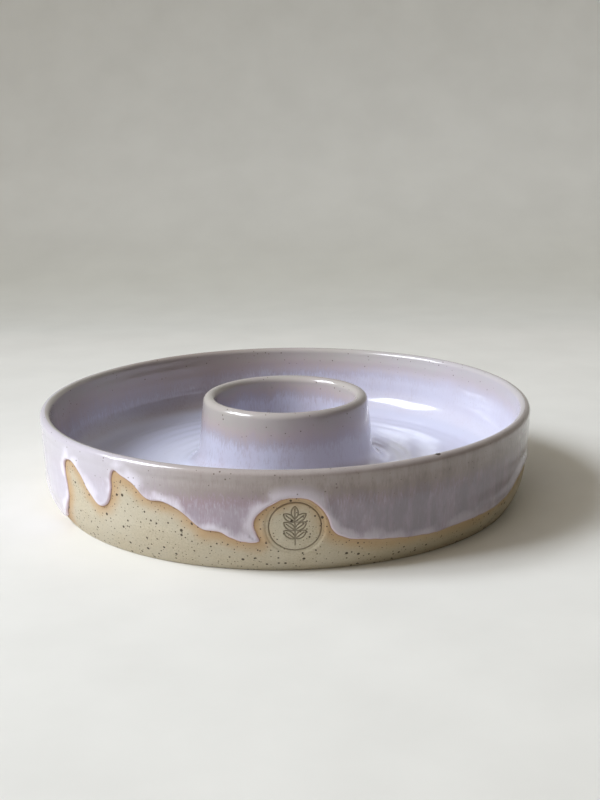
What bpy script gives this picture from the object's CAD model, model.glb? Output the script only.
"""Chip and dip server: the looks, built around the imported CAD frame.

A thrown stoneware dish under three coats of lavender glaze. Each surface is a section
turned about Z and then moved a little by what the potter's hands and the kiln did to it.
The dish's lengths are in millimetres until a mesh is made, and the stage's in metres.
Azimuth is an angle about Z that is 0 at -Y, where the mark is, and grows towards +X.
A section is measured by v, the distance along it from the crest of the rim or of the ring.
"""

from math import asin, ceil, cos, degrees, pi, radians, sin, tan

import bmesh
import bpy
import numpy as np
from mathutils import Matrix, Vector
from mathutils.geometry import delaunay_2d_cdt
from mathutils.kdtree import KDTree


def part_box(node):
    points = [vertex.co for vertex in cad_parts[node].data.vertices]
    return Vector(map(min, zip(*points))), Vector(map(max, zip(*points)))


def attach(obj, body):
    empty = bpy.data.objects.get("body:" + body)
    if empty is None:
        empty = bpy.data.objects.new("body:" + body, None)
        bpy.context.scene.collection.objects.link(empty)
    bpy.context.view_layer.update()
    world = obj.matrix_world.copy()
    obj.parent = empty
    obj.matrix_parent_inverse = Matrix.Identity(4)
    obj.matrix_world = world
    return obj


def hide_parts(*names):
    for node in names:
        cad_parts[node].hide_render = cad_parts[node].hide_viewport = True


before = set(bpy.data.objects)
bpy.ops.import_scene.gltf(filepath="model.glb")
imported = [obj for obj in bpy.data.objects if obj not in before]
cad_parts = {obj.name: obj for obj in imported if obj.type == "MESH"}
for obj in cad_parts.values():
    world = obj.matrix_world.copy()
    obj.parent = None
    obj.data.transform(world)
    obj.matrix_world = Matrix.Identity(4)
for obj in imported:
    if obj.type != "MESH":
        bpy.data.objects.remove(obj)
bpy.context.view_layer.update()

MM = 0.001
TAU = 2 * pi

# ---- the clay's section, as in the CAD ----
RIM_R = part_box("outer_glaze")[1].x / MM
RIM_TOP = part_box("outer_glaze")[1].z / MM
RING_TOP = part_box("well_glaze")[1].z / MM
SKIN = RIM_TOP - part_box("dish_body")[1].z / MM
LIP_R, WALL_LEAN, WALL_LOW_Z, BULGE_R = 2.3, 3.5, 20.0, 36.0
WALL_IN_LEAN, COVE_R, FLOOR = 7.0, 16.0, 12.0
FOOT_EDGE_Z, FOOT_BEVEL, FOOT_IN_R, FOOT_RECESS, RECESS_SLOPE = 0.8, 0.7, 104.0, 4.0, 4.0
RING_R, RING_LIP_R, RING_LEAN, FLARE_R = 42.7, 2.9, 5.9, 15.0
WELL_LEAN, WELL_COVE_R = 2.0, 12.0

# ---- mesh density ----
FINE = 0.1  # steps along a section when it is worked out
COLUMNS = 512  # vertices round the dish, halved where the radius is small
HALF_COLUMNS_R = 75.0
FEWEST_COLUMNS = 32
CREST_ROW, WALL_ROW, BACK_ROW = 0.4, 1.1, 4.0  # spacing of rows at crests, elsewhere, hidden
CREST_ZONE = 4.5  # how far from a crest its closer rows go
CLAY_GRID = 1.25  # spacing of the clay's outer wall
COAT_GRID = 1.2  # spacing inside the outer coat
EDGE_STEP = 0.55  # spacing along the coat's edge
EDGE_ROWS = (0.1, 0.3, 0.62, 1.05, 1.6, 2.35, 3.2)  # rows that follow the edge
MARK_GRID = 0.26  # spacing under the mark
TRIANGLE_ROW = 0.866  # height of a triangle with sides of 1
FAR_AWAY = 99.0  # distance to the coat's edge where there is none near

# ---- what the hands left in the clay: pitch, height or depth of each trace ----
CREASE_V, CREASE_WIDTH, CREASE_DEPTH = 7.4, 0.95, 0.34  # the crease under the lip
RIDGE_PITCH, RIDGE_HEIGHT = 7.3, 0.07
TRIM_PITCH, TRIM_HEIGHT = 1.7, 0.03
FLOOR_RING_PITCH, FLOOR_RING_HEIGHT = 8.2, 0.09
WALL_RING_PITCH, WALL_RING_HEIGHT = 6.2, 0.05
SPIRAL_PITCH, SPIRAL_HEIGHT = 5.6, 0.12
TOOL_PITCH, TOOL_HEIGHT = 3.9, 0.14

# the swirl of clay on the trough's floor: where it leaves the ring's foot, and how far it runs
SWIRL_START, SWIRL_TURN, SWIRL_R, SWIRL_RUN = radians(15), radians(150), 54.0, 26.0
SWIRL_RIDGES, SWIRL_WIDTH = ((0.0, 0.42), (5.5, 0.26), (10.0, 0.15)), 1.7  # (behind, height)

# ---- thickness of the glaze ----
CREST_GLAZE, WALL_GLAZE, POOL_GLAZE, FLOOR_GLAZE = 0.32, 0.5, 1.0, 0.7
GLAZE_SINK = 0.08  # how far the coat's edge and back lie below the clay's surface
BEAD_WIDTH, BEAD_REACH = 1.25, 7.0  # rolled edge of a drip, and how far it thickens the coat
BEAD_THIN, BEAD_THICK = 0.5, 1.25  # height of the edge where it is level or drips
RUN_HEIGHT, COAT_RUN_HEIGHT = 0.045, 0.05  # runs of glaze down the walls
EDGE_WAVER, DRIP_BLUR = 0.22, 6  # unevenness of the edge, and neighbours averaged on it
THIN_AT = radians(-95)  # where the glaze is thin on the trough's wall, on the left

# ---- maker's mark: a leaf sprig in a ring ----
MARK_Z, MARK_R = 23.0, 13.4
MARK_SUNK, MARK_SHOULDER = 0.38, 0.9
MARK_BURR, BURR_OFFSET, BURR_WIDTH = 0.12, 1.3, 0.8  # clay pushed up round the stamp
MARK_PATCH_R = MARK_R + 2.6  # the finer grid under the mark
LINE_WIDTH, LINE_DEPTH = 0.72, 0.55
BORDER_R = 11.6
STEM_BOTTOM, STEM_TOP = -8.8, 4.2
LEAF_LENGTH, LEAF_WIDTH, LEAF_SPREAD = 6.2, 3.0, 52.0
LEAF_HEIGHTS = (-5.6, -1.6, 2.4)
TOP_LEAF = 3.6

# ---- lower edge of the outer coat: (azimuth, height) of the turns of its drips ----
COAT_EDGE = [
    (-171, 13), (-163, 12), (-156, 19), (-149, 25.5), (-142, 24), (-135, 14),
    (-130, 9.5), (-125, 15), (-119, 25.5), (-111, 29.5), (-103, 25), (-96, 17),
    (-89, 12), (-82, 13.5), (-75, 9.5), (-70, 6), (-66, 4.6), (-62.6, 7), (-60.4, 11.5),
    (-58.5, 16), (-57.5, 21), (-57.8, 28), (-58, 33.5), (-57.4, 37.4), (-56, 39.6),
    (-54.2, 39.9), (-52.4, 38), (-50.6, 34.4), (-48.6, 29), (-46.6, 25), (-44.6, 22.9),
    (-42.6, 24.3), (-41.4, 28.2), (-40.7, 33), (-40.5, 37.8), (-39.6, 42), (-37.6, 40.8),
    (-34.6, 38), (-32.4, 33.4), (-30.4, 31.4), (-27.4, 31.7), (-24.4, 29.4),
    (-21.6, 25), (-19.2, 21), (-17.2, 20.5), (-15.2, 20), (-12.8, 17.3), (-10.4, 16),
    (-8.4, 15.5), (-7.2, 16.8), (-7.7, 19.6), (-8.3, 24), (-7.5, 28.7), (-5.2, 33),
    (-2.1, 36.3), (1, 36.9), (3.6, 34.8), (5.4, 31), (6.6, 26.4), (7.4, 21.4),
    (9.2, 17.8), (12.2, 15.8), (17.2, 14.4), (24, 12.9), (30.4, 12.1), (38, 13),
    (48.4, 13.5), (53.2, 14.6), (57, 16.6), (60.4, 19.4), (65, 22), (70, 24), (77, 22.5),
    (84, 18), (90, 11.5), (96, 13), (103, 20), (110, 21.5), (117, 15.5), (124, 11.5),
    (132, 12.5), (139, 21), (146, 30), (152, 30.5), (159, 21), (166, 13.5), (173, 14),
    (180, 17),
]  # fmt: skip


# ---- sections ----
def arc(centre_r, centre_z, radius, start, end):
    steps = max(2, ceil(radians(abs(end - start)) * radius / FINE))
    turn = np.radians(np.linspace(start, end, steps + 1))
    return np.column_stack((centre_r + radius * np.cos(turn), centre_z + radius * np.sin(turn)))


RIM_LIP = (RIM_R - SKIN - LIP_R, RIM_TOP - SKIN - LIP_R)
RING_LIP = (RING_R - RING_LIP_R, RING_TOP - SKIN - RING_LIP_R)


def cove_centre(lip, lip_radius, cove_radius, lean, side):
    """Radius of the centre of a floor cove whose wall, leaning by lean, meets the lip."""
    reach = (lip_radius + cove_radius) / cos(radians(lean))
    return lip[0] + side * (reach + tan(radians(lean)) * (lip[1] - FLOOR - cove_radius))


class Section:
    """A stretch of the clay's outline, sampled by the distance along it."""

    def __init__(self, points, side):
        gaps = np.linalg.norm(np.diff(points, axis=0), axis=1)
        points, gaps = points[np.append(True, gaps > 1e-6)], gaps[gaps > 1e-6]
        along = np.append(0, np.cumsum(gaps))
        self.length = along[-1]
        self.v = np.linspace(0, self.length, ceil(self.length / FINE))
        self.line = np.column_stack([np.interp(self.v, along, points[:, k]) for k in (0, 1)])
        tangent = np.gradient(self.line, self.v, axis=0)
        tangent /= np.linalg.norm(tangent, axis=1)[:, None]
        self.normal = side * np.column_stack((-tangent[:, 1], tangent[:, 0]))

    def at(self, v, lift=0.0):
        """Radius and height at v, lifted off the clay by lift."""
        r, z, nr, nz = (np.interp(v, self.v, values) for values in (*self.line.T, *self.normal.T))
        return r + nr * lift, z + nz * lift

    def v_at_height(self, height):
        """Distance along a falling section to a height."""
        return np.interp(-height, -self.line[:, 1], self.v)


def outer_section():
    """From the rim's crest over the lip and down the wall to the foot."""
    lean = radians(WALL_LEAN)
    lip_edge_z = RIM_LIP[1] - LIP_R * sin(lean)
    low_r = RIM_LIP[0] + LIP_R * cos(lean) - (lip_edge_z - WALL_LOW_Z) * tan(lean)
    centre = (low_r - BULGE_R * cos(lean), WALL_LOW_Z + BULGE_R * sin(lean))
    end = -degrees(asin((centre[1] - FOOT_EDGE_Z) / BULGE_R))
    runs = (arc(*RIM_LIP, LIP_R, 90, -WALL_LEAN), arc(*centre, BULGE_R, -WALL_LEAN, end))
    return Section(np.vstack(runs), 1)


def trough_section():
    """From the rim's crest down the wall, across the floor and up the ring to its crest."""
    cove_r = cove_centre(RIM_LIP, LIP_R, COVE_R, WALL_IN_LEAN, -1)
    flare_r = cove_centre(RING_LIP, RING_LIP_R, FLARE_R, RING_LEAN, 1)
    runs = (
        arc(*RIM_LIP, LIP_R, 90, 180 - WALL_IN_LEAN),
        arc(cove_r, FLOOR + COVE_R, COVE_R, -WALL_IN_LEAN, -90),
        arc(flare_r, FLOOR + FLARE_R, FLARE_R, 270, 180 + RING_LEAN),
        arc(*RING_LIP, RING_LIP_R, RING_LEAN, 90),
    )
    return Section(np.vstack(runs), -1)


def well_section():
    """From the ring's crest down the well to the middle of its floor."""
    cove_r = cove_centre(RING_LIP, RING_LIP_R, WELL_COVE_R, WELL_LEAN, -1)
    runs = (
        arc(*RING_LIP, RING_LIP_R, 90, 180 - WELL_LEAN),
        arc(cove_r, FLOOR + WELL_COVE_R, WELL_COVE_R, -WELL_LEAN, -90),
        [(0, FLOOR)],
    )
    return Section(np.vstack(runs), -1)


OUTER, TROUGH, WELL = outer_section(), trough_section(), well_section()
WALL_R = RIM_R - 2.0  # radius at which distances round the outer wall are measured


# ---- what the hands and the kiln did ----
def ease(x, low=0.0, high=1.0):
    x = np.clip((x - low) / (high - low), 0, 1)
    return x * x * (3 - 2 * x)


def lowness(z, high, low):
    """0 where a surface is high millimetres above the floor, easing to 1 where it is low."""
    return ease(FLOOR + high - z, 0, high - low)


def mottle(azimuth, v, around, along, seed):
    """Smooth noise from -1 to 1 in cells of 1/around of a turn by along millimetres."""
    rows = 97
    cells = np.random.default_rng(seed).uniform(-1, 1, (around, rows))
    x, y = azimuth / TAU % 1 * around, v / along % rows
    i, j = np.floor(x).astype(int), np.floor(y).astype(int)
    fx, fy = ease(x - i), ease(y - j)
    near = cells[i % around, j % rows] * (1 - fy) + cells[i % around, (j + 1) % rows] * fy
    i = i + 1
    far = cells[i % around, j % rows] * (1 - fy) + cells[i % around, (j + 1) % rows] * fy
    return near * (1 - fx) + far * fx


def warped(r, z, azimuth):
    """The rim of a thrown dish is a few tenths out of round and out of level."""
    share = (r / RIM_R) ** 3 * z / RIM_TOP
    out = 0.32 * np.cos(2 * azimuth + 1.1) + 0.16 * np.cos(3 * azimuth + 0.4)
    up = 0.16 * np.cos(2 * azimuth + 2.5) + 0.09 * np.cos(5 * azimuth + 1.9)
    return r + share * out, z + share * up


def outer_relief(v, azimuth):
    """The outer wall: a crease under the lip, finger ridges and a trimmed foot."""
    z = RIM_TOP - v
    away = ease(v, 2.5, 6)
    crease = -CREASE_DEPTH * np.exp(-(((v - CREASE_V) / CREASE_WIDTH) ** 2))
    crease *= 0.8 + 0.4 * mottle(azimuth, v, 14, 40, 3)
    ridges = RIDGE_HEIGHT * np.sin(TAU * (z / RIDGE_PITCH - azimuth / TAU)) * ease(z, 10, 18)
    turns = z / TRIM_PITCH + 0.3 * mottle(azimuth, v, 24, 30, 5)
    trimming = TRIM_HEIGHT * np.sin(TAU * turns) * ease(-z, -17, -9)
    grain = 0.022 * mottle(azimuth, v, 520, 1.6, 7) + 0.02 * mottle(azimuth, v, 90, 6, 9)
    return away * (crease + ridges + trimming + grain)


def trough_relief(v, azimuth):
    """The trough: faint throwing rings, and a thick swirl that leaves the ring's foot."""
    r, z = TROUGH.at(v)
    away = ease(v, 2.5, 9) * ease(TROUGH.length - v, 2.5, 9)
    turns = (r + 2.0 * mottle(azimuth, r, 7, 30, 21)) / FLOOR_RING_PITCH + azimuth / TAU
    floor = lowness(z, 6, 1) * ease(r, 56, 62) * FLOOR_RING_HEIGHT
    rings = floor * (0.7 + 0.5 * mottle(azimuth, r, 5, 22, 25)) * np.cos(TAU * turns)
    wall = WALL_RING_HEIGHT * (1 - lowness(z, 13, 5)) * ease(r, 100, 104)
    wall *= np.sin(TAU * (z / WALL_RING_PITCH + azimuth / TAU))
    turned = (azimuth - SWIRL_START) % TAU / SWIRL_TURN
    swirl = np.zeros(len(r))
    for behind, height in SWIRL_RIDGES:
        middle = SWIRL_R + SWIRL_RUN * turned - behind
        swirl += height * np.exp(-(((r - middle) / SWIRL_WIDTH) ** 2)) * ease(middle, 55, 58)
    swirl *= ease(turned, 0, 0.25) * ease(-turned, -1, -0.6) * lowness(z, 6, 1.5)
    return away * (rings + wall + swirl + 0.02 * mottle(azimuth, v, 60, 8, 23))


def well_relief(v, azimuth):
    """The well: a small spiral in the middle of its floor."""
    r, z = WELL.at(v)
    floor = lowness(z, 2, 0.4)
    turns = r / SPIRAL_PITCH + azimuth / TAU
    return SPIRAL_HEIGHT * floor * ease(r, 1, 8) * np.cos(TAU * turns) * ease(v, 2.5, 9)


def runs_of_glaze(v, azimuth, around):
    """Slight ridges where the glaze ran down a wall."""
    return mottle(azimuth, v, around, 26, 31) * 0.6 + mottle(azimuth, v, around * 2, 17, 33) * 0.4


def crest_glaze(azimuth):
    return CREST_GLAZE + 0.03 * mottle(azimuth, 0 * azimuth, 48, 20, 35)


def trough_glaze(v, azimuth):
    """Thickness of the trough's liner: thin at the crests, pooled in the corners."""
    r, z = TROUGH.at(v)
    corner = lowness(z, 13, 4) * (1 - ease(-r, -100, -90) * ease(r, 56, 64))
    level = lowness(z, 9, 1)
    full = WALL_GLAZE + (FLOOR_GLAZE - WALL_GLAZE) * level + (POOL_GLAZE - FLOOR_GLAZE) * corner
    full += RUN_HEIGHT * runs_of_glaze(v, azimuth, 230) * (1 - level)
    share = ease(v, 0, 14) * ease(TROUGH.length - v, 0, 14)
    return crest_glaze(azimuth) * (1 - share) + full * share


def well_glaze(v, azimuth):
    r, z = WELL.at(v)
    level = lowness(z, 11, 1)
    full = WALL_GLAZE + (POOL_GLAZE - WALL_GLAZE) * level
    full += RUN_HEIGHT * runs_of_glaze(v, azimuth, 100) * (1 - level)
    share = ease(v, 0, 14)
    return crest_glaze(azimuth) * (1 - share) + full * share


def set_down(section, v, azimuth, lift):
    """Points in metres at v and azimuth, lifted off the CAD's clay by lift."""
    r, z = warped(*section.at(v, lift), azimuth)
    return np.column_stack((r * np.sin(azimuth), -r * np.cos(azimuth), z)) * MM


# ---- the edge of the outer coat ----
def closed_curve(points, period, step):
    """A smooth periodic curve through points, as points step apart: a Catmull-Rom spline."""
    count = len(points)
    whole = np.vstack((points[-2:] - period, points, points[:2] + period))
    found = []
    for k in range(count):
        a, b, c, d = whole[k + 1 : k + 5]
        t = np.linspace(0, 1, 24, endpoint=False)[:, None]
        found.append(0.5 * (2 * b + (c - a) * t + (2 * a - 5 * b + 4 * c - d) * t**2
                            + (3 * b - a - 3 * c + d) * t**3))  # fmt: skip
    line = np.vstack(found)
    line = np.vstack((line, line[0] + period))
    along = np.append(0, np.cumsum(np.linalg.norm(np.diff(line, axis=0), axis=1)))
    even = np.linspace(0, along[-1], round(along[-1] / step), endpoint=False)
    return np.column_stack([np.interp(even, along, line[:, k]) for k in (0, 1)])


def blurred(values, reach):
    """Values round a closed curve, averaged over reach neighbours on each side."""
    return sum(np.roll(values, shift, axis=0) for shift in range(-reach, reach + 1)) / (2 * reach + 1)


class CoatEdge:
    """The outer coat's edge: distances to it, and how much of a drip it is."""

    def __init__(self):
        corners = np.array(COAT_EDGE, float)
        u, v = np.radians(corners[:, 0]) * WALL_R, OUTER.v_at_height(corners[:, 1])
        self.points = closed_curve(np.column_stack((u, v)), np.array((TAU * WALL_R, 0)), EDGE_STEP)
        azimuth = self.points[:, 0] / WALL_R
        self.points[:, 1] += EDGE_WAVER * mottle(azimuth, 0 * azimuth, 260, 10, 41)
        following = np.roll(self.points, -1, axis=0)
        following[-1, 0] += TAU * WALL_R
        before = np.roll(self.points, 1, axis=0)
        before[0, 0] -= TAU * WALL_R
        tangent = following - before
        tangent /= np.linalg.norm(tangent, axis=1)[:, None]
        self.inwards = np.column_stack((tangent[:, 1], -tangent[:, 0]))
        self.drip = blurred(ease(-self.inwards[:, 1], -0.1, 1.0), DRIP_BLUR)
        self.tree = KDTree(len(self.points))
        for index, (u, v) in enumerate(self.points):
            self.tree.insert(self.on_cylinder(u, v), index)
        self.tree.balance()

    @staticmethod
    def on_cylinder(u, v):
        return (WALL_R * cos(u / WALL_R), WALL_R * sin(u / WALL_R), v)

    def distance(self, u, v):
        """Signed distance to the edge, positive inside the coat, and the drip share there."""
        found = [self.tree.find(self.on_cylinder(a, b))[1] for a, b in zip(u, v)]
        nearest = self.points[found]
        du = (u - nearest[:, 0] + pi * WALL_R) % (TAU * WALL_R) - pi * WALL_R
        dv = v - nearest[:, 1]
        side = np.sign(du * self.inwards[found, 0] + dv * self.inwards[found, 1])
        return side * np.hypot(du, dv), self.drip[found]


EDGE = CoatEdge()


def coat_glaze(v, azimuth, distance, drip):
    """Thickness of the outer coat: a rolled bead at its edge, thickest in the drips."""
    wall = WALL_GLAZE + COAT_RUN_HEIGHT * runs_of_glaze(v, azimuth, 230)
    share = ease(v, 0, 14)
    wall = crest_glaze(azimuth) * (1 - share) + wall * share
    bead = BEAD_THIN + (BEAD_THICK - BEAD_THIN) * drip
    round_in = np.sqrt(np.clip(1 - (1 - np.clip(distance / BEAD_WIDTH, 0, 1)) ** 2, 0, 1))
    body = bead + (wall - bead) * ease(distance, BEAD_WIDTH * 0.8, BEAD_REACH)
    return round_in * (body + GLAZE_SINK) - GLAZE_SINK


# ---- the mark ----
def leaf_lines(x, y, root_y, turn):
    """Distance to a leaf's outline and midrib, for a leaf rooted on the stem."""
    along = -x * sin(turn) + (y - root_y) * cos(turn)
    across = np.abs(x * cos(turn) + (y - root_y) * sin(turn))
    half = LEAF_LENGTH / 2
    radius = (half**2 + (LEAF_WIDTH / 2) ** 2) / LEAF_WIDTH
    outline = np.abs(np.hypot(along - half, across + radius - LEAF_WIDTH / 2) - radius)
    outline = np.where((along > -0.2) & (along < LEAF_LENGTH + 0.2), outline, np.inf)
    beyond = np.clip(np.abs(along - 0.4 * LEAF_LENGTH) - 0.4 * LEAF_LENGTH, 0, None)
    return np.minimum(outline, np.hypot(beyond, across))


def mark_lines(x, y):
    """Distance from points on the stamp's face to the nearest line of the sprig."""
    nearest = np.abs(np.hypot(x, y) - BORDER_R)
    beyond = np.clip(np.maximum(STEM_BOTTOM - y, y - STEM_TOP), 0, None)
    nearest = np.minimum(nearest, np.hypot(x, beyond))
    for root_y in LEAF_HEIGHTS:
        for side in (-1, 1):
            nearest = np.minimum(nearest, leaf_lines(x, y, root_y, side * radians(LEAF_SPREAD)))
    return np.minimum(nearest, leaf_lines(x, y, TOP_LEAF, 0))


def mark_press(u, v):
    """Depth of the stamp's print and share of a groove, for points on the outer wall."""
    x, y = u, OUTER.v_at_height(MARK_Z) - v
    reach = np.hypot(x, y)
    face = MARK_SUNK * ease(-reach, -MARK_R - MARK_SHOULDER / 2, -MARK_R + MARK_SHOULDER / 2)
    raised = MARK_BURR * np.exp(-(((reach - MARK_R - BURR_OFFSET) / BURR_WIDTH) ** 2))
    groove = ease(-mark_lines(x, y), -LINE_WIDTH * 0.62, -LINE_WIDTH * 0.12)
    groove = np.where(reach < MARK_R - 0.4, groove, 0)
    return face - raised + LINE_DEPTH * groove, groove


# ---- building meshes ----
def placed(name, data):
    """A new object in the scene."""
    made = bpy.data.objects.new(name, data)
    bpy.context.scene.collection.objects.link(made)
    return made


def closed_around(columns, shift=0.0):
    return (np.arange(columns) + shift) * TAU / columns - pi


class Shell:
    """A closed mesh, built from rows of vertices round the axis and patches of triangles."""

    def __init__(self):
        self.points, self.faces, self.count = [], [], 0
        self.values = []

    def row(self, points, values):
        """Adds points with their attribute values, and returns their indices."""
        self.points.append(points)
        self.values.append(values)
        self.count += len(points)
        return np.arange(self.count - len(points), self.count)

    def bridge(self, a, b):
        """Faces between two rows, where the second may have as many, half or one."""
        next_a, next_b = np.roll(a, -1), np.roll(b, -1)
        if len(b) == len(a):
            self.faces += np.column_stack((a, next_a, next_b, b)).tolist()
        elif len(b) == 1:
            self.faces += np.column_stack((a, next_a, np.full(len(a), b[0]))).tolist()
        elif len(a) == 2 * len(b):
            even, odd, after = a[0::2], a[1::2], np.roll(a[0::2], -1)
            self.faces += np.column_stack((even, odd, b)).tolist()
            self.faces += np.column_stack((odd, next_b, b)).tolist()
            self.faces += np.column_stack((odd, after, next_b)).tolist()
        else:
            self.bridge(b, a)

    def skin(self, rows):
        """Faces over a run of rows."""
        for a, b in zip(rows, rows[1:]):
            if len(a) > 1 or len(b) > 1:
                self.bridge(a, b)

    def make(self, name, attributes, seams=()):
        """The mesh object. seams are rows that keep a given normal on their first faces."""
        mesh = bpy.data.meshes.new(name)
        mesh.from_pydata(np.vstack(self.points).tolist(), [], self.faces)
        work = bmesh.new()
        work.from_mesh(mesh)
        bmesh.ops.recalc_face_normals(work, faces=work.faces)
        work.to_mesh(mesh)
        work.free()
        mesh.shade_smooth()
        values = np.vstack(self.values)
        for column, attribute in enumerate(attributes):
            layer = mesh.attributes.new(attribute, "FLOAT", "POINT")
            layer.data.foreach_set("value", np.ascontiguousarray(values[:, column], np.float32))
        set_seam_normals(mesh, seams)
        return placed(name, mesh)


def set_seam_normals(mesh, seams):
    """Gives the crest rows the normals of the whole lip, so that two coats meet unseen."""
    if not seams:
        return
    known = {}
    for row, normals in seams:
        known.update(zip(row.tolist(), normals.tolist()))
    corners = np.zeros(len(mesh.loops), np.int32)
    mesh.loops.foreach_get("vertex_index", corners)
    custom = np.zeros((len(mesh.loops), 3), np.float32)
    for corner in np.flatnonzero(np.isin(corners, list(known))):
        custom[corner] = known[corners[corner]]
    mesh.normals_split_custom_set(custom.tolist())


def crest_normals(azimuth, ahead, behind):
    """Normals of a lip at its crest, from its points a little ahead and behind."""
    across = ahead(azimuth) - behind(azimuth)
    around = np.column_stack((np.cos(azimuth), np.sin(azimuth), 0 * azimuth))
    normals = np.cross(around, across)
    normals /= np.linalg.norm(normals, axis=1)[:, None]
    return normals * np.sign(normals[:, 2:])


def lip_point(section, thickness, relief, v):
    def point(azimuth):
        at = np.full(len(azimuth), v)
        return set_down(section, at, azimuth, relief(at, azimuth) + thickness(at, azimuth))
    return point  # fmt: skip


def coat_thickness_at_crest(v, azimuth):
    return coat_glaze(v, azimuth, np.full(len(v), FAR_AWAY), np.zeros(len(v)))


def rim_normals(azimuth):
    step = CREST_ROW / 2
    return crest_normals(azimuth, lip_point(OUTER, coat_thickness_at_crest, outer_relief, step),
                         lip_point(TROUGH, trough_glaze, trough_relief, step))  # fmt: skip


def ring_normals(azimuth):
    step = CREST_ROW / 2
    outwards = lip_point(TROUGH, trough_glaze, trough_relief, TROUGH.length - step)
    return crest_normals(azimuth, outwards, lip_point(WELL, well_glaze, well_relief, step))


def rows_along(length, crests):
    """Positions of rows along a section, closer together near its crests."""
    found = [0]
    while found[-1] < length:
        near = min(abs(found[-1] - crest) for crest in crests)
        found.append(found[-1] + (CREST_ROW if near < CREST_ZONE else WALL_ROW))
    found = np.array(found)
    return found * length / found[-1]


def row_azimuths(r):
    """Azimuths of a row's vertices, fewer as the radius shrinks, and one in the middle."""
    if r < 1e-6:
        return np.zeros(1)
    columns, limit = COLUMNS, HALF_COLUMNS_R
    while r <= limit and columns > FEWEST_COLUMNS:
        columns //= 2
        limit /= 2
    return closed_around(columns)


def liner(name, section, relief, thickness, crests, seams):
    """A poured liner: its surface along the section, and its back against the clay."""
    shell = Shell()
    front = rows_along(section.length, crests)
    back = np.linspace(section.length, 0, round(section.length / BACK_ROW))
    rows = []
    for k, v in enumerate((*front, *back)):
        azimuth = row_azimuths(section.at(v)[0])
        at = np.full(len(azimuth), v)
        if k < len(front):
            lift = relief(at, azimuth) + thickness(at, azimuth)
        else:
            lift = np.full(len(at), -GLAZE_SINK)
        points = set_down(section, at, azimuth, lift)
        rows.append(shell.row(points, glaze_values(section, at, azimuth)))
    shell.skin(rows + rows[:1])
    ends = (rows[0], rows[len(front) - 1])
    found = [(ends[k], normals(closed_around(len(ends[k])))) for k, normals in seams]
    return shell.make(name, GLAZE_ATTRIBUTES, found)


# ---- the pieces ----
GLAZE_ATTRIBUTES = ("depth", "edge", "level", "outside")
CLAY_ATTRIBUTES = ("halo", "groove")


def glaze_depth(v, azimuth, start, end, seed):
    """Share of thick glaze, from bare-looking at a crest to full further down a wall."""
    wandering = 1.3 * mottle(azimuth, v, 26, 18, seed) + 0.6 * mottle(azimuth, v, 90, 16, seed + 1)
    return ease(v + wandering, start, end)


def glaze_values(section, v, azimuth):
    """Colour depth, distance to a glaze edge and levelness for vertices of a liner."""
    r, z = section.at(v)
    if section is TROUGH:
        depth = glaze_depth(v, azimuth, 4, 20, 51)
        depth = depth * glaze_depth(section.length - v, azimuth, 5, 22, 53)
        thin = ease(np.cos(azimuth - THIN_AT), 0.1, 0.9) * (1 - lowness(z, 22, 10))
        depth *= 1 - 0.45 * (thin * ease(r, 85, 100))
    else:
        depth = glaze_depth(v, azimuth, 2, 16, 55)
    level = lowness(z, 6, 1)
    return np.column_stack((depth, np.full(len(v), FAR_AWAY), level, 0 * depth))


def plane_point(u, v):
    """The wall laid out as a flat ring without distortion of its triangles."""
    radius = WALL_R * np.exp(-v / WALL_R)
    return np.column_stack((radius * np.cos(u / WALL_R), radius * np.sin(u / WALL_R)))


def ring_edges(rows):
    return [pair for row in rows for pair in zip(row.tolist(), np.roll(row, -1).tolist())]


def triangles(u, v, crest, lower, beyond):
    """Triangles over points of the wall, between the crest and a lower loop of indices.

    beyond says which points of the wall lie past the lower loop.
    """
    flat = plane_point(u, v)
    found = delaunay_2d_cdt(flat.tolist(), ring_edges((crest, lower)), [], 1, 1e-6, True)
    source = np.array([ids[0] for ids in found[3]])
    faces = source[np.array(found[2])]
    doubtful = np.isin(faces, lower).all(axis=1)
    middle = flat[faces[doubtful]].mean(axis=1)
    middle_u = np.arctan2(middle[:, 1], middle[:, 0]) * WALL_R
    middle_v = -WALL_R * np.log(np.hypot(*middle.T) / WALL_R)
    doubtful[doubtful] = beyond(middle_u, middle_v)
    return faces[~doubtful].tolist()


def past_the_coat(u, v):
    return EDGE.distance(u, v)[0] < 0


def past_the_foot(u, v):
    return v > OUTER.length * 0.99


def hexagonal(spacing, low_v, high_v):
    """Points of a triangular grid round the wall."""
    columns = round(TAU * WALL_R / spacing)
    grid_u, grid_v = [], []
    for k, v in enumerate(np.arange(low_v, high_v, spacing * TRIANGLE_ROW)):
        grid_u.append(closed_around(columns, 0.5 * (k % 2)) * WALL_R)
        grid_v.append(np.full(columns, v))
    return np.concatenate(grid_u), np.concatenate(grid_v)


def coat_points():
    """Points over the coat, and the indices of those on its edge."""
    crest_u = closed_around(COLUMNS) * WALL_R
    half_step = (crest_u[1] - crest_u[0]) * 0.5
    u, v = [crest_u], [np.zeros(COLUMNS)]
    for crest_v in np.arange(CREST_ROW, CREST_ZONE, CREST_ROW):
        u.append(crest_u + half_step)
        v.append(np.full(COLUMNS, crest_v))
    edge = np.arange(len(EDGE.points)) + COLUMNS * len(u)
    u.append(EDGE.points[:, 0])
    v.append(EDGE.points[:, 1])
    for offset in EDGE_ROWS:
        row = EDGE.points + EDGE.inwards * offset
        clear = np.abs(EDGE.distance(row[:, 0], row[:, 1])[0]) > 0.93 * offset
        u.append(row[clear, 0])
        v.append(row[clear, 1])
    grid_u, grid_v = hexagonal(COAT_GRID, CREST_ZONE + COAT_GRID / 2, OUTER.length)
    inside = EDGE.distance(grid_u, grid_v)[0] > EDGE_ROWS[-1] + COAT_GRID * 0.6
    u.append(grid_u[inside])
    v.append(grid_v[inside])
    return np.concatenate(u), np.concatenate(v), edge


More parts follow.
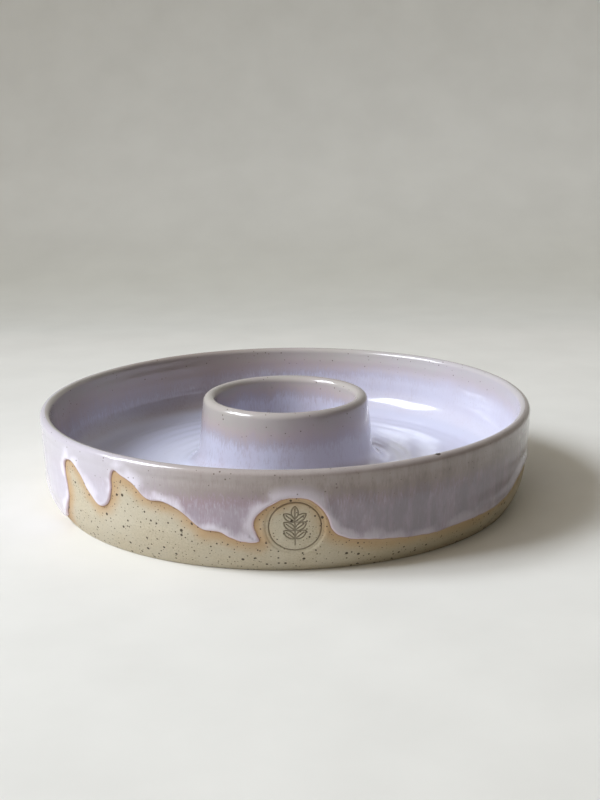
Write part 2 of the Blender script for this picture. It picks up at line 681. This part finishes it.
def add_coat_back(shell, crest, edge):
    """The coat's hidden back, from its crest to its edge, sunk a little into the clay."""
    crest_u = closed_around(COLUMNS) * WALL_R
    grid_u, grid_v = hexagonal(BACK_ROW * 0.8, BACK_ROW, OUTER.length)
    inside = EDGE.distance(grid_u, grid_v)[0] > BACK_ROW * 0.4
    grid_u, grid_v = grid_u[inside], grid_v[inside]
    u = np.concatenate((crest_u, EDGE.points[:, 0], grid_u))
    v = np.concatenate((np.zeros(COLUMNS), EDGE.points[:, 1], grid_v))
    lower = np.arange(COLUMNS, COLUMNS + len(edge))
    flat = triangles(u, v, crest, lower, past_the_coat)
    azimuth = np.concatenate((crest_u, grid_u)) / WALL_R
    at = np.concatenate((np.zeros(COLUMNS), grid_v))
    points = set_down(OUTER, at, azimuth, outer_relief(at, azimuth) - GLAZE_SINK)
    hidden = shell.row(points, np.zeros((len(at), len(GLAZE_ATTRIBUTES))))
    place = np.concatenate((hidden[:COLUMNS], edge, hidden[COLUMNS:]))
    shell.faces += place[np.array(flat)].tolist()
    shell.bridge(crest, hidden[:COLUMNS])


def outer_coat():
    """The coat on the outside of the wall, with its bead of drips along the edge."""
    shell = Shell()
    u, v, edge = coat_points()
    crest = np.arange(COLUMNS)
    azimuth = u / WALL_R
    distance, drip = EDGE.distance(u, v)
    distance[edge] = 0
    distance = np.clip(distance, 0, None)
    depth = glaze_depth(v, azimuth, 5, 22, 57)
    relief = outer_relief(v, azimuth) * (1 - 0.4 * ease(distance, 0, 4))
    lift = relief + coat_glaze(v, azimuth, distance, drip)
    values = np.column_stack((depth, distance, 0 * depth, 1 + 0 * depth))
    shell.row(set_down(OUTER, v, azimuth, lift), values)
    shell.faces += triangles(u, v, crest, edge, past_the_coat)
    add_coat_back(shell, crest, edge)
    seam = (crest, rim_normals(azimuth[:COLUMNS]))
    return shell.make("dipped_outer_coat", GLAZE_ATTRIBUTES, [seam])


def clay_points():
    """Points over the clay's outer wall from crest to foot, closer together under the mark."""
    around = closed_around(COLUMNS) * WALL_R
    grid_u, grid_v = hexagonal(CLAY_GRID, CLAY_GRID, OUTER.length - CLAY_GRID * 0.6)
    mark_v = OUTER.v_at_height(MARK_Z)
    clear = np.hypot(grid_u, grid_v - mark_v) > MARK_PATCH_R + CLAY_GRID / 2
    line = np.arange(-MARK_PATCH_R, MARK_PATCH_R, MARK_GRID)
    rows = np.arange(-MARK_PATCH_R, MARK_PATCH_R, MARK_GRID * TRIANGLE_ROW)
    patch_u = np.concatenate([line + MARK_GRID / 2 * (k % 2) for k in range(len(rows))])
    patch_v = np.repeat(rows, len(line))
    within = np.hypot(patch_u, patch_v) < MARK_PATCH_R
    patch_u, patch_v = patch_u[within], patch_v[within] + mark_v
    foot_v = np.full(COLUMNS, OUTER.length)
    u = np.concatenate((around, grid_u[clear], patch_u, around))
    return u, np.concatenate((np.zeros(COLUMNS), grid_v[clear], patch_v, foot_v))


def bare_clay(count):
    """Attribute values of clay that is far from any glaze edge and from the mark."""
    return np.tile((FAR_AWAY, 0.0), (count, 1))


def add_underside(shell, foot):
    rows = [foot]
    for r, z in underside():
        azimuth = row_azimuths(r)
        points = ring_points(r, z + tool_marks(r, azimuth), azimuth)
        rows.append(shell.row(points, bare_clay(len(azimuth))))
    shell.skin(rows)


def add_hidden_inside(shell, crest):
    """The clay's inner side, just below the liners, and its floor across the middle."""
    rows = [crest]
    azimuth = closed_around(COLUMNS)
    floor_v = TROUGH.v[np.argmin(TROUGH.line[:, 1])]
    for v in np.linspace(0, floor_v, round(floor_v / BACK_ROW))[1:]:
        at = np.full(COLUMNS, v)
        points = set_down(TROUGH, at, azimuth, trough_relief(at, azimuth) - 2 * GLAZE_SINK)
        rows.append(shell.row(points, bare_clay(COLUMNS)))
    rows.append(shell.row(ring_points(0, FLOOR - 3 * GLAZE_SINK, np.zeros(1)), bare_clay(1)))
    shell.skin(rows)


def thrown_dish():
    """The clay: the outer wall with its mark, the trimmed underside and the hidden inside."""
    shell = Shell()
    u, v = clay_points()
    crest, foot = np.arange(COLUMNS), np.arange(len(u) - COLUMNS, len(u))
    azimuth = u / WALL_R
    press, groove = mark_press(u, v)
    points = set_down(OUTER, v, azimuth, outer_relief(v, azimuth) - press)
    shell.row(points, np.column_stack((-EDGE.distance(u, v)[0], groove)))
    shell.faces += triangles(u, v, crest, foot, past_the_foot)
    add_underside(shell, foot)
    add_hidden_inside(shell, crest)
    return shell.make("thrown_dish", CLAY_ATTRIBUTES)


def ring_points(r, z, azimuth):
    return np.column_stack((r * np.sin(azimuth), -r * np.cos(azimuth), z + 0 * azimuth)) * MM


def underside():
    """Radius and height of rows from the foot's bevel to the middle of the underside."""
    foot_r = float(OUTER.line[-1, 0])
    corners = [(foot_r - FOOT_BEVEL * 0.4, 0.25), (foot_r - FOOT_BEVEL, 0.0), (FOOT_IN_R, 0.0),
               (FOOT_IN_R - RECESS_SLOPE, FOOT_RECESS), (0.0, FOOT_RECESS)]  # fmt: skip
    found = [corners[0]]
    for (r0, z0), (r1, z1) in zip(corners, corners[1:]):
        steps = max(1, ceil((r0 - r1) / CLAY_GRID))
        found += [(r0 + (r1 - r0) * k / steps, z0 + (z1 - z0) * k / steps) for k in range(1, steps + 1)]
    return found


def tool_marks(r, azimuth):
    """Grooves that the trimming tool left under the dish, winding inwards."""
    recess_r = FOOT_IN_R - RECESS_SLOPE
    height = TOOL_HEIGHT * float(ease(-r, -recess_r, -(recess_r - 3)))
    return height * np.sin(TAU * (r / TOOL_PITCH - azimuth / TAU)) * float(ease(r, 2, 8))


# ---- materials: nodes ----
def new_tree(name):
    material = bpy.data.materials.new(name)
    material.use_nodes = True
    tree = material.node_tree
    shader = tree.nodes["Principled BSDF"]
    return material, tree, shader


def node(tree, kind, inputs=(), **settings):
    """A node with its settings, and its inputs given as values or as sockets to link."""
    made = tree.nodes.new(kind)
    for key, value in settings.items():
        setattr(made, key, value)
    for key, value in dict(inputs).items():
        if isinstance(value, bpy.types.NodeSocket):
            tree.links.new(value, made.inputs[key])
        else:
            made.inputs[key].default_value = value
    return made


def tree_of(*values):
    """The node tree of the first socket among values."""
    return next(v.id_data for v in values if isinstance(v, bpy.types.NodeSocket))


def maths(operation, a, b=0.0, clamp=False):
    inputs = {0: a, 1: b}
    return node(tree_of(a), "ShaderNodeMath", inputs, operation=operation, use_clamp=clamp).outputs[0]


def plus(a, b, clamp=False):
    return maths("ADD", a, b, clamp)


def minus(a, b):
    return maths("SUBTRACT", a, b)


def times(a, b):
    return maths("MULTIPLY", a, b)


def vector_maths(operation, a, b=(0, 0, 0)):
    return node(tree_of(a), "ShaderNodeVectorMath", {0: a, 1: b}, operation=operation).outputs


def attribute(tree, name):
    return node(tree, "ShaderNodeAttribute", attribute_name=name).outputs["Fac"]


def stretched(tree, scale):
    """Object coordinates in millimetres, scaled along each axis."""
    place = node(tree, "ShaderNodeTexCoord").outputs["Object"]
    return vector_maths("MULTIPLY", place, [s / MM for s in scale])[0]


def split(vector):
    """How far a place is to the right, towards the back and up."""
    return node(tree_of(vector), "ShaderNodeSeparateXYZ", {"Vector": vector}).outputs


def noise(vector, scale, detail=3.0, roughness=0.55, distortion=0.0):
    values = {"Vector": vector, "Scale": scale, "Detail": detail}
    values |= {"Roughness": roughness, "Distortion": distortion}
    return node(tree_of(vector), "ShaderNodeTexNoise", values).outputs["Fac"]


def band(value, low, high, to_low=0.0, to_high=1.0):
    """Eases from to_low, where value is low, to to_high, where it is high."""
    values = {"Value": value, "From Min": low, "From Max": high, "To Min": to_low, "To Max": to_high}
    return node(tree_of(value), "ShaderNodeMapRange", values, interpolation_type="SMOOTHSTEP").outputs[0]


def blend(share, a, b, mode="MIX"):
    """Two colours mixed, where each is a socket or (red, green, blue)."""
    colours = [c if isinstance(c, bpy.types.NodeSocket) else (*c, 1) for c in (a, b)]
    inputs = {0: share, 6: colours[0], 7: colours[1]}
    tree = tree_of(share, a, b)
    return node(tree, "ShaderNodeMix", inputs, data_type="RGBA", blend_type=mode).outputs[2]


def ramp(value, stops):
    made = node(tree_of(value), "ShaderNodeValToRGB", {"Fac": value})
    elements = made.color_ramp.elements
    while len(elements) < len(stops):
        elements.new(0.5)
    for element, (position, colour) in zip(elements, stops):
        element.position = position
        element.color = (*colour, 1)
    return made.outputs["Color"]


def specks(tree, cell, largest, seed):
    """Round specks of mixed sizes, one in each cell of a grid of irregular cells."""
    place = node(tree, "ShaderNodeTexCoord").outputs["Object"]
    moved = vector_maths("ADD", place, (seed, seed * 0.7, seed * 0.3))[0]
    cells = {"Vector": moved, "Scale": 1 / (cell * MM)}
    found = node(tree, "ShaderNodeTexVoronoi", cells, feature="F1").outputs
    chance = node(tree, "ShaderNodeSeparateColor", {"Color": found["Color"]}).outputs
    size = times(maths("POWER", chance[0], 1.7), largest / cell)
    gap = minus(size, found["Distance"])
    return band(gap, -0.12 / cell, 0.08 / cell)


def bumps(shader, height, strength, distance):
    """Bumps too fine for the mesh, distance millimetres high."""
    values = {"Strength": strength, "Distance": distance * MM, "Height": height}
    tree = tree_of(height)
    tree.links.new(node(tree, "ShaderNodeBump", values).outputs[0], shader.inputs["Normal"])


# ---- the glaze ----
# colours are linear; ramps run from where the clay shows through to where the coat is thick
POURED_RAMP = (
    (0.0, (0.45, 0.415, 0.39)), (0.3, (0.47, 0.40, 0.395)), (0.55, (0.45, 0.39, 0.42)),
    (0.78, (0.45, 0.415, 0.49)), (1.0, (0.545, 0.54, 0.655)),
)  # fmt: skip
DIPPED_RAMP = (
    (0.0, (0.435, 0.38, 0.37)), (0.3, (0.385, 0.325, 0.32)),
    (0.7, (0.40, 0.295, 0.345)), (1.0, (0.45, 0.375, 0.45)),
)  # fmt: skip
DULL_RAMP = (
    (0.0, (0.235, 0.19, 0.175)), (0.22, (0.175, 0.13, 0.115)),
    (0.5, (0.165, 0.13, 0.135)), (0.85, (0.175, 0.152, 0.178)),
)  # fmt: skip
PINK_CLOUD, FED, STAINED = (0.50, 0.41, 0.47), (0.64, 0.63, 0.755), (0.29, 0.245, 0.245)
STARVED, POOLED, MILKY = (0.30, 0.235, 0.215), (0.61, 0.635, 0.82), (0.76, 0.775, 0.92)
THREADED, DULL_LIP, MILKY_COAT = (0.60, 0.55, 0.64), (0.40, 0.355, 0.355), (0.61, 0.58, 0.67)
BEAD_RIGHT, BEAD_LEFT, ROSY = (0.56, 0.505, 0.575), (0.80, 0.755, 0.86), (0.64, 0.46, 0.52)
GLAZE_IRON, PIT = (0.085, 0.055, 0.04), (0.05, 0.032, 0.025)

# where the tints begin and are full: to the right (left is negative), back, up and outwards
FED_RIGHT, STAINED_RIGHT, STARVED_RIGHT, POOLED_RIGHT = (20, 95), (-25, 30), (30, -40), (10, -50)
COLLAR_IN, COLLAR_OUT, STARVED_BACK = (37, 40), (75, 52), (60, 108)
MILKY_OUT, MILKY_RIGHT = (92, 62), (-15, -50)
DULL_RIGHT, DULL_LIP_UP, MILKY_COAT_RIGHT = (-90, 60), (46.2, 48.4), (-40, -97)
BEAD_FADES_RIGHT, BEAD_TINT_RIGHT = (0, 50), (10, -70)

GLAZE_SPECKS = (2.4, 0.40, 0.013)  # cell, largest speck and seed
PIT_AT, PIT_R = (64.7, -105.9, 49.5), (1.8, 1.15)  # a burnt-out pit on the near side of the rim


class GlazePlace:
    """What the glaze's colour goes by: the place, the coat's values and noise."""

    def __init__(self, tree):
        self.plain = stretched(tree, (1, 1, 1))
        self.fine = noise(stretched(tree, (1, 1, 0.22)), 1.25, 4, 0.65)
        self.broad = noise(stretched(tree, (1, 1, 0.3)), 0.13, 3, 0.5, 0.4)
        self.cloud = noise(self.plain, 0.035, 2, 0.5)
        found = [attribute(tree, name) for name in GLAZE_ATTRIBUTES]
        self.depth, self.edge, self.level, self.outside = found
        self.right, self.back, self.up = split(self.plain)
        self.radius = vector_maths("LENGTH", stretched(tree, (1, 1, 0)))["Value"]
        self.full = self.fullness()

    def fullness(self):
        """The depth of the colour, streaked down the walls and calmer on the floors."""
        streaks = plus(times(self.fine, 0.9), times(self.broad, 0.4))
        streaks = minus(streaks, 0.65)
        calm = band(self.level, 0, 1, 1.0, 0.35)
        streaked = plus(self.depth, times(streaks, calm))
        return plus(streaked, times(self.level, 0.12), clamp=True)

    def across(self, where, low=0.0, high=1.0):
        """Eases from low to high between two places, left or right of the middle."""
        return band(self.right, *where, low, high)


def poured_colour(at):
    """The liners: brown where the glaze is thin, and lavender where it is thick or pooled."""
    colour = ramp(at.full, POURED_RAMP)
    pink = times(band(at.cloud, 0.42, 0.68), 0.25)
    colour = blend(pink, colour, PINK_CLOUD)
    fed = times(at.across(FED_RIGHT, 0.0, 0.6), band(at.depth, 0.1, 0.9, 0.45, 1.0))
    fed = times(fed, band(at.level, 0, 1, 1.0, 0.0))
    colour = blend(fed, colour, FED)
    collar = times(band(at.radius, *COLLAR_IN), band(at.radius, *COLLAR_OUT))
    stained = times(collar, at.across(STAINED_RIGHT, 0.0, 0.5))
    colour = blend(stained, colour, STAINED)
    starved = times(at.across(STARVED_RIGHT, 0.0, 0.55), band(at.back, *STARVED_BACK))
    colour = blend(starved, colour, STARVED)
    pooled = times(at.level, at.across(POOLED_RIGHT, 0.45, 0.80))
    colour = blend(pooled, colour, POOLED)
    milky = times(band(at.radius, *MILKY_OUT), at.across(MILKY_RIGHT, 0.0, 0.75))
    return blend(times(milky, at.level), colour, MILKY)


def dipped_colour(at):
    """The outside: threads of milky glaze over mauve, thinner and duller on the right."""
    colour = ramp(at.full, DIPPED_RAMP)
    threads = times(band(at.fine, 0.50, 0.72), band(at.depth, 0.15, 0.8, 0.0, 0.6))
    colour = blend(threads, colour, THREADED)
    dull = times(at.across(DULL_RIGHT, 0.0, 0.8), band(at.broad, 0.36, 0.62, 0.7, 1.0))
    thinned = ramp(at.full, DULL_RAMP)
    thinned = blend(band(at.up, *DULL_LIP_UP, 0.0, 0.7), thinned, DULL_LIP)
    colour = blend(dull, colour, thinned)
    return blend(at.across(MILKY_COAT_RIGHT, 0.0, 0.72), colour, MILKY_COAT)


def edge_colour(at, colour):
    """The coat's edge: a milky bead whose width wanders, rosy where it meets the clay."""
    soft = noise(at.plain, 0.09, 1.5, 0.5)
    wander = plus(at.edge, band(soft, 0.36, 0.64, 3.2, -1.2))
    wander = plus(wander, band(at.fine, 0.35, 0.65, 0.3, -0.3))
    bead = times(band(wander, 6.8, 0.4), at.across(BEAD_FADES_RIGHT, 0.9, 0.6))
    tint = blend(at.across(BEAD_TINT_RIGHT), BEAD_RIGHT, BEAD_LEFT)
    colour = blend(bead, colour, tint)
    rosy = times(band(at.edge, 1.4, 0.2), band(at.cloud, 0.4, 0.6, 0.3, 0.75))
    return blend(rosy, colour, ROSY)


def glaze_material():
    material, tree, shader = new_tree("lavender_glaze")
    at = GlazePlace(tree)
    colour = blend(at.outside, poured_colour(at), dipped_colour(at))
    colour = edge_colour(at, colour)
    iron = specks(tree, *GLAZE_SPECKS)
    shows = band(at.full, 0.75, 0.1, 0.12, 0.75)
    colour = blend(times(iron, shows), colour, GLAZE_IRON)
    pit = band(vector_maths("DISTANCE", at.plain, PIT_AT)["Value"], *PIT_R)
    colour = blend(pit, colour, PIT)
    tree.links.new(colour, shader.inputs["Base Color"])

    gloss = plus(times(at.fine, 0.10), 0.10)
    tree.links.new(gloss, shader.inputs["Roughness"])
    shader.inputs["IOR"].default_value = 1.52
    shader.inputs["Coat Weight"].default_value = 0.35
    shader.inputs["Coat Roughness"].default_value = 0.06
    peel = noise(at.plain, 0.5, 2, 0.5)
    height = plus(times(peel, 0.6), times(at.fine, 0.3))
    height = minus(height, times(iron, 0.4))
    height = minus(height, times(pit, 4.0))
    bumps(shader, height, 0.35, 0.06)
    return material


# ---- the clay and the paper ----
CLAY_RAMP = ((0.25, (0.42, 0.37, 0.27)), (0.5, (0.53, 0.465, 0.35)), (0.78, (0.62, 0.56, 0.44)))
PALE_CLAY, TOASTED, EDGE_LINE = (0.555, 0.51, 0.415), (0.50, 0.305, 0.145), (0.33, 0.17, 0.085)
BROWN_CLAY, BROWN_RIGHT = (0.33, 0.26, 0.14), (-10, 70)
CLAY_IRON, GROOVE = (0.05, 0.032, 0.021), (0.10, 0.075, 0.05)
SMALL_SPECKS, LARGE_SPECKS = (1.45, 0.36, 0.031), (2.7, 0.74, 0.077)
TOAST_REACH, EDGE_LINE_REACH = (12.0, 3.6), (0.9, 0.1)  # below the coat's edge


def clay_colour(place, grain, iron):
    """Buff clay with clouds, toasted below the glaze, with iron specks and a dark mark."""
    cloud = noise(place, 0.06, 3, 0.5)
    halo, groove = (attribute(tree_of(place), name) for name in CLAY_ATTRIBUTES)
    colour = ramp(grain, CLAY_RAMP)
    pale = times(band(cloud, 0.40, 0.66), 0.45)
    colour = blend(pale, colour, PALE_CLAY)
    wander = plus(halo, times(cloud, 7.0))
    colour = blend(times(band(wander, *TOAST_REACH), 0.74), colour, TOASTED)
    colour = blend(times(band(halo, *EDGE_LINE_REACH), 0.45), colour, EDGE_LINE)
    right = split(place)[0]
    colour = blend(band(right, *BROWN_RIGHT, 0.0, 0.5), colour, BROWN_CLAY)
    colour = blend(times(iron, 0.92), colour, CLAY_IRON)
    return blend(times(groove, 0.62), colour, GROOVE)


def clay_material():
    material, tree, shader = new_tree("speckled_stoneware")
    place = stretched(tree, (1, 1, 1))
    grain = noise(place, 1.3, 5, 0.65)
    drag = noise(stretched(tree, (0.10, 0.10, 1.2)), 1.0, 3, 0.6)
    iron = maths("MAXIMUM", specks(tree, *SMALL_SPECKS), specks(tree, *LARGE_SPECKS))
    tree.links.new(clay_colour(place, grain, iron), shader.inputs["Base Color"])
    rough = band(grain, 0.2, 0.8, 0.62, 0.85)
    tree.links.new(rough, shader.inputs["Roughness"])
    shader.inputs["IOR"].default_value = 1.45
    height = plus(times(grain, 0.7), times(drag, 0.5))
    height = minus(height, times(iron, 0.5))
    bumps(shader, height, 0.6, 0.14)
    return material


PAPER_RAMP = ((0.3, (0.755, 0.74, 0.71)), (0.7, (0.795, 0.78, 0.75)))
SHADE_BACK = (300, 900)  # where the paper behind the dish is tinted, by its distance back
SHADE_RAMP = (
    (0.0, (1, 1, 1)), (0.055, (0.98, 0.98, 0.98)), (0.147, (0.93, 0.94, 0.94)),
    (0.55, (0.88, 0.89, 0.87)), (0.67, (0.91, 0.92, 0.91)), (0.88, (1.05, 1.07, 1.09)),
    (1.0, (1.11, 1.14, 1.18)),
)  # fmt: skip


def paper_material():
    """Pale paper, with a soft dark fold behind the dish and a lighter stretch above it."""
    material, tree, shader = new_tree("studio_paper")
    place = stretched(tree, (1, 1, 1))
    tint = ramp(noise(place, 0.02, 3, 0.5), PAPER_RAMP)
    shade = ramp(band(split(place)[1], *SHADE_BACK), SHADE_RAMP)
    tint = blend(1.0, tint, shade, "MULTIPLY")
    tree.links.new(tint, shader.inputs["Base Color"])
    shader.inputs["Roughness"].default_value = 0.75
    bumps(shader, noise(place, 0.9, 4, 0.6), 0.25, 0.12)
    return material


GLAZE, CLAY = glaze_material(), clay_material()


def fit(piece, material, slot, *nodes):
    """Gives a piece its material and ties it to the CAD nodes that it stands for."""
    piece.data.materials.append(material)
    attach(piece, "root")
    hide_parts(*nodes)


fit(thrown_dish(), CLAY, "stoneware", "dish_body")
fit(outer_coat(), GLAZE, "lavender_glaze", "outer_glaze")
fit(liner("poured_trough_liner", TROUGH, trough_relief, trough_glaze, (0, TROUGH.length),
          [(0, rim_normals), (1, ring_normals)]), GLAZE, "lavender_glaze", "trough_glaze")  # fmt: skip
fit(liner("poured_well_liner", WELL, well_relief, well_glaze, (0,), [(0, ring_normals)]),
    GLAZE, "lavender_glaze", "well_glaze")  # fmt: skip
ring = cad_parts["dip_ring"]
ring.data.materials.clear()
ring.data.materials.append(CLAY)


# ---- stage, light and camera, in metres ----
SWEEP_BACK, SWEEP_R, SWEEP_TOP, SWEEP_HALF, SWEEP_FRONT = 0.50, 0.42, 4.0, 9.0, -8.0


def backdrop():
    """A sheet of pale paper that runs back from the camera and curves up."""
    turn = np.radians(np.linspace(-90, 0, 25))
    side = [(SWEEP_FRONT, 0.0), *zip(SWEEP_BACK + SWEEP_R * np.cos(turn), SWEEP_R * (1 + np.sin(turn))),
            (SWEEP_BACK + SWEEP_R, SWEEP_TOP)]  # fmt: skip
    points = [(x, y, z) for y, z in side for x in (-SWEEP_HALF, SWEEP_HALF)]
    faces = [(2 * k, 2 * k + 1, 2 * k + 3, 2 * k + 2) for k in range(len(side) - 1)]
    mesh = bpy.data.meshes.new("backdrop")
    mesh.from_pydata(points, [], faces)
    mesh.shade_smooth()
    mesh.materials.append(paper_material())
    sheet = placed("backdrop", mesh)


WINDOW_PANES = {"window_near": (-1.93, -0.64, 1.70), "window_far": (-2.05, 0.08, 1.70)}
PANE_SIZE, PANE_WATTS, PANE_SPREAD = (0.66, 1.2), 3.4, radians(46)
WINDOW_COLOUR, ROOM_COLOUR = (0.86, 0.925, 1.0), (0.86, 0.80, 0.68)
LIT_POINT = (0, -0.08, 0)  # what the window's panes face
WINDOW_SIDE = (-0.69, -0.12, 0.71)  # where the brightest part of the room is
ROOM_DARK, ROOM_BRIGHT = 0.02, 0.80


def window_pane(name, place):
    """A rectangular soft light at place, facing the dish."""
    light = bpy.data.lights.new(name, "AREA")
    light.shape = "RECTANGLE"
    light.size, light.size_y = PANE_SIZE
    light.energy = PANE_WATTS
    light.spread = PANE_SPREAD
    light.color = WINDOW_COLOUR
    made = placed(name, light)
    made.location = place
    made.rotation_euler = (Vector(LIT_POINT) - Vector(place)).to_track_quat("-Z", "Y").to_euler()


def lights():
    """A window in two panes at the left, and a room that is brighter on its side."""
    for name, place in WINDOW_PANES.items():
        window_pane(name, place)
    world = bpy.data.worlds.new("room")
    world.use_nodes = True
    tree = world.node_tree
    ahead = node(tree, "ShaderNodeTexCoord").outputs["Generated"]
    facing = vector_maths("DOT_PRODUCT", ahead, WINDOW_SIDE)["Value"]
    strength = band(facing, -0.1, 1.0, ROOM_DARK, ROOM_BRIGHT)
    background = tree.nodes["Background"]
    background.inputs["Color"].default_value = (*ROOM_COLOUR, 1)
    tree.links.new(strength, background.inputs["Strength"])
    bpy.context.scene.world = world


CAMERA_AT = (-0.0183, -0.6555, 0.2176)
HEADING, PITCH, ROLL = 2.27, -14.51, -0.68  # degrees
LENS, SENSOR = 58.14, 36.0


def camera():
    heading, pitch, roll = radians(HEADING), radians(PITCH), radians(ROLL)
    ahead = Vector((sin(heading) * cos(pitch), cos(heading) * cos(pitch), sin(pitch)))
    right = Vector((cos(heading), -sin(heading), 0))
    up = right.cross(ahead)
    turned_right = right * cos(roll) + up * sin(roll)
    turned_up = up * cos(roll) - right * sin(roll)
    data = bpy.data.cameras.new("camera")
    data.lens, data.sensor_width = LENS, SENSOR
    made = placed("camera", data)
    turn = Matrix((turned_right, turned_up, -ahead)).transposed()
    made.matrix_world = Matrix.Translation(CAMERA_AT) @ turn.to_4x4()
    bpy.context.scene.camera = made


backdrop()
lights()
camera()
bpy.context.scene.view_settings.view_transform = "Standard"
